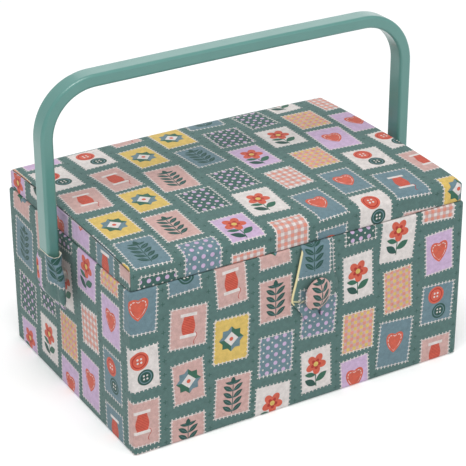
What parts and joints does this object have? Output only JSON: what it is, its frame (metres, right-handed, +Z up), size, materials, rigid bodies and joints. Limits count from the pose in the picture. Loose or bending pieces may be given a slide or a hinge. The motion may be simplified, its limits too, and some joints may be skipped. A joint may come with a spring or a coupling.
{
  "type": "sewing box",
  "caption": "Rectangular cloth-covered box with a padded hinged lid, a stiff bail handle pivoted on its short sides, a button and loop closure and a lift-out compartment tray.",
  "frame": {"origin": "centre of the box's footprint on the surface that it stands on", "axes": "+X to the right seen from the front along the long side, -Y towards the front with the button, +Z up"},
  "size_m": [0.3586, 0.2406, 0.2862],
  "materials": {
    "printed_cotton": "printed plain-weave cotton, slightly glazed",
    "lining_cotton": "plain fine cotton over thin wadding",
    "base_cotton": "plain coarse cotton",
    "grey_board": "raw grey board",
    "wadding": "bonded polyester wadding",
    "foam": "soft open-cell foam",
    "handle_plastic": "moulded plastic, semi-gloss",
    "tray_plastic": "moulded plastic, satin",
    "plated_steel": "nickel-plated steel",
    "thread": "twisted polyester thread",
    "elastic": "woven elastic",
    "pad_cotton": "plain cotton over stuffing"
  },
  "bodies": {
    "box": {"base_cloth": "base_cotton", "base_board": "grey_board", "front_board": "grey_board", "back_board": "grey_board", "left_board": "grey_board", "right_board": "grey_board", "wall_wadding": "wadding", "outer_cover": "printed_cotton", "wall_lining": "lining_cotton", "floor_pad": "lining_cotton", "tray_ledges": "lining_cotton", "pivot_rivets": "plated_steel", "pivot_spacers": "plated_steel", "pivot_washers": "plated_steel", "button_shell": "printed_cotton", "button_back": "plated_steel", "button_thread": "thread"},
    "lid": {"lid_front_rim": "grey_board", "lid_back_rim": "grey_board", "lid_left_rim": "grey_board", "lid_right_rim": "grey_board", "lid_board": "grey_board", "lid_foam": "foam", "lid_cover": "printed_cotton", "lid_lining": "lining_cotton", "pincushion": "pad_cotton", "lid_pocket": "lining_cotton", "pocket_elastic": "elastic", "hinge_strip": "printed_cotton"},
    "handle_bail": {"handle": "handle_plastic", "left_tab": "printed_cotton", "right_tab": "printed_cotton"},
    "loop": {"closure_loop": "printed_cotton"},
    "tray_unit": {"tray": "tray_plastic"}
  },
  "joints": [
    {"name": "lid_open", "type": "hinge", "parent": "box", "child": "lid", "pos_m": [0, 0.113, 0.14875], "axis": [-1, 0, 0], "range_deg": [0, 100], "deforming": ["hinge_strip"]},
    {"name": "handle_swing", "type": "hinge", "parent": "box", "child": "handle_bail", "pos_m": [0, 0.0042, 0.112], "axis": [-1, 0, 0], "range_deg": [0, 90]},
    {"name": "loop_swing", "type": "hinge", "parent": "lid", "child": "loop", "pos_m": [0.008, -0.112, 0.1489], "axis": [-1, 0, 0], "range_deg": [0, 80], "deforming": ["closure_loop"]},
    {"name": "tray_lift", "type": "slide", "parent": "box", "child": "tray_unit", "axis": [0, 0, 1], "range_m": [0, 0.012]}
  ],
  "couplings": [
    {"joint": "handle_swing", "follows": "lid_open", "ratio": 0.9}
  ]
}
